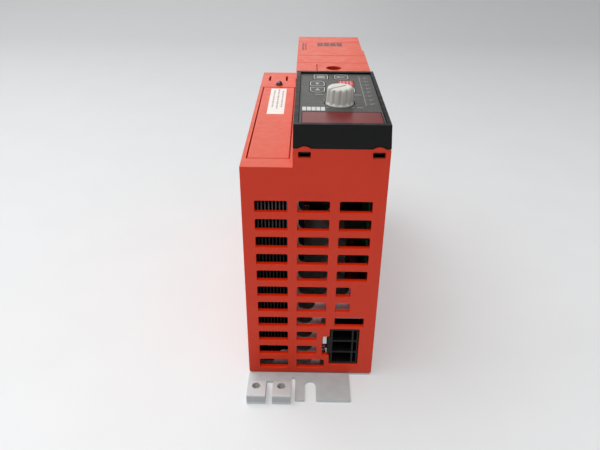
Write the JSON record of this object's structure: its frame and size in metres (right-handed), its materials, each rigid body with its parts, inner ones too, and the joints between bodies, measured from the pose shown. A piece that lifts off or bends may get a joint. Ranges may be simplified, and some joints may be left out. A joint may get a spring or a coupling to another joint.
{
  "type": "motor drive",
  "caption": "Compact panel-mount motor drive: stepped vented orange housing on a metal mounting plate, plug-on keypad with display, keys and knob, pluggable headers, heat sink and fan inside.",
  "frame": {"origin": "centre of the mounting plane, the underside of the mounting plate, midway along the plate with both flanges", "axes": "+Z out of the mounting wall towards the keypad, +Y from the mains connector end to the motor connector end, +X to the right seen from the mains end"},
  "size_m": [0.08, 0.2734, 0.1813],
  "materials": {
    "orange_shell": "satin moulded",
    "zinc_plate": "galvanised",
    "aluminium": "extruded",
    "sheet_steel": "galvanised",
    "label_white": "matt film",
    "lens_smoke": "polished",
    "keypad_black": "fine texture",
    "black_plastic": "moulded",
    "latch_grey": "moulded",
    "membrane_grey": "printed film",
    "key_red": "printed film",
    "window_red": "tinted film",
    "display_dark": "polished",
    "board_green": "solder resist",
    "tinned_metal": "tin plated",
    "knob_ivory": "satin moulded",
    "pot_blue": "moulded",
    "terminal_green": "moulded",
    "switch_red": "moulded",
    "capacitor_sleeve": "shrink sleeve",
    "choke_copper": "enamelled wire",
    "relay_amber": "moulded",
    "component_white": "potted"
  },
  "bodies": {
    "base": {"mounting_plate": "zinc_plate", "heat_sink": "aluminium", "inner_sheet": "sheet_steel", "main_shell": "orange_shell", "extension_shell": "orange_shell", "status_lens": "lens_smoke", "board_carrier": "black_plastic", "control_board": "board_green", "keypad_socket": "black_plastic", "housing_screw": "tinned_metal", "terminal_board": "board_green", "signal_terminal": "terminal_green", "setting_switches": "switch_red", "mains_header": "black_plastic", "mains_pin_1": "tinned_metal", "mains_pin_2": "tinned_metal", "mains_pin_3": "tinned_metal", "motor_header": "black_plastic", "motor_pin_1": "tinned_metal", "motor_pin_2": "tinned_metal", "motor_pin_3": "tinned_metal", "power_board": "board_green", "link_capacitor_1": "capacitor_sleeve", "link_capacitor_2": "capacitor_sleeve", "link_capacitor_3": "capacitor_sleeve", "mains_choke": "choke_copper", "power_module": "black_plastic", "relay": "relay_amber", "filter_capacitor": "component_white", "fan_frame": "black_plastic"},
    "option_cover": {"option_cover": "orange_shell", "blank_label": "label_white"},
    "terminal_cover": {"terminal_cover": "orange_shell"},
    "keypad": {"keypad_frame": "keypad_black", "keypad_membrane": "membrane_grey", "display_window": "window_red", "keypad_board": "board_green", "display_module": "display_dark", "keypad_back": "black_plastic", "keypad_plug": "black_plastic", "pot_body": "pot_blue"},
    "latch_left": {"keypad_latch_left": "latch_grey"},
    "latch_right": {"keypad_latch_right": "latch_grey"},
    "key_up": {"key_up": "membrane_grey"},
    "key_down": {"key_down": "membrane_grey"},
    "key_out": {"key_out": "membrane_grey"},
    "key_enter": {"key_enter": "membrane_grey"},
    "key_stop": {"key_stop": "key_red"},
    "key_run": {"key_run": "membrane_grey"},
    "knob": {"knob": "knob_ivory", "pot_shaft": "tinned_metal"},
    "fan_rotor": {"fan_rotor": "black_plastic"}
  },
  "joints": [
    {"name": "keypad_pull", "type": "slide", "parent": "base", "child": "keypad", "axis": [0, 0, 1], "range_m": [0, 0.03]},
    {"name": "option_cover_pull", "type": "slide", "parent": "base", "child": "option_cover", "axis": [0, 0, 1], "range_m": [0, 0.02]},
    {"name": "terminal_cover_pull", "type": "slide", "parent": "base", "child": "terminal_cover", "axis": [0, 0, 1], "range_m": [0, 0.03]},
    {"name": "latch_left_press", "type": "slide", "parent": "keypad", "child": "latch_left", "axis": [0, 1, 0], "range_m": [0, 0.0012], "stiffness_N_per_m": 1500},
    {"name": "latch_right_press", "type": "slide", "parent": "keypad", "child": "latch_right", "axis": [0, 1, 0], "range_m": [0, 0.0012], "stiffness_N_per_m": 1500},
    {"name": "key_up_press", "type": "slide", "parent": "keypad", "child": "key_up", "axis": [0, 0, -1], "range_m": [0, 0.0004], "stiffness_N_per_m": 1200},
    {"name": "key_down_press", "type": "slide", "parent": "keypad", "child": "key_down", "axis": [0, 0, -1], "range_m": [0, 0.0004], "stiffness_N_per_m": 1200},
    {"name": "key_out_press", "type": "slide", "parent": "keypad", "child": "key_out", "axis": [0, 0, -1], "range_m": [0, 0.0004], "stiffness_N_per_m": 1200},
    {"name": "key_enter_press", "type": "slide", "parent": "keypad", "child": "key_enter", "axis": [0, 0, -1], "range_m": [0, 0.0004], "stiffness_N_per_m": 1200},
    {"name": "key_stop_press", "type": "slide", "parent": "keypad", "child": "key_stop", "axis": [0, 0, -1], "range_m": [0, 0.0004], "stiffness_N_per_m": 1200},
    {"name": "key_run_press", "type": "slide", "parent": "keypad", "child": "key_run", "axis": [0, 0, -1], "range_m": [0, 0.0004], "stiffness_N_per_m": 1200},
    {"name": "knob_turn", "type": "hinge", "parent": "keypad", "child": "knob", "pos_m": [0.0142, -0.07105, 0.172], "axis": [0, 0, 1], "range_deg": [-91, 179]},
    {"name": "fan_spin", "type": "hinge", "parent": "base", "child": "fan_rotor", "pos_m": [-0.0172, 0.10655, 0.062], "axis": [0, 1, 0], "continuous": true}
  ]
}
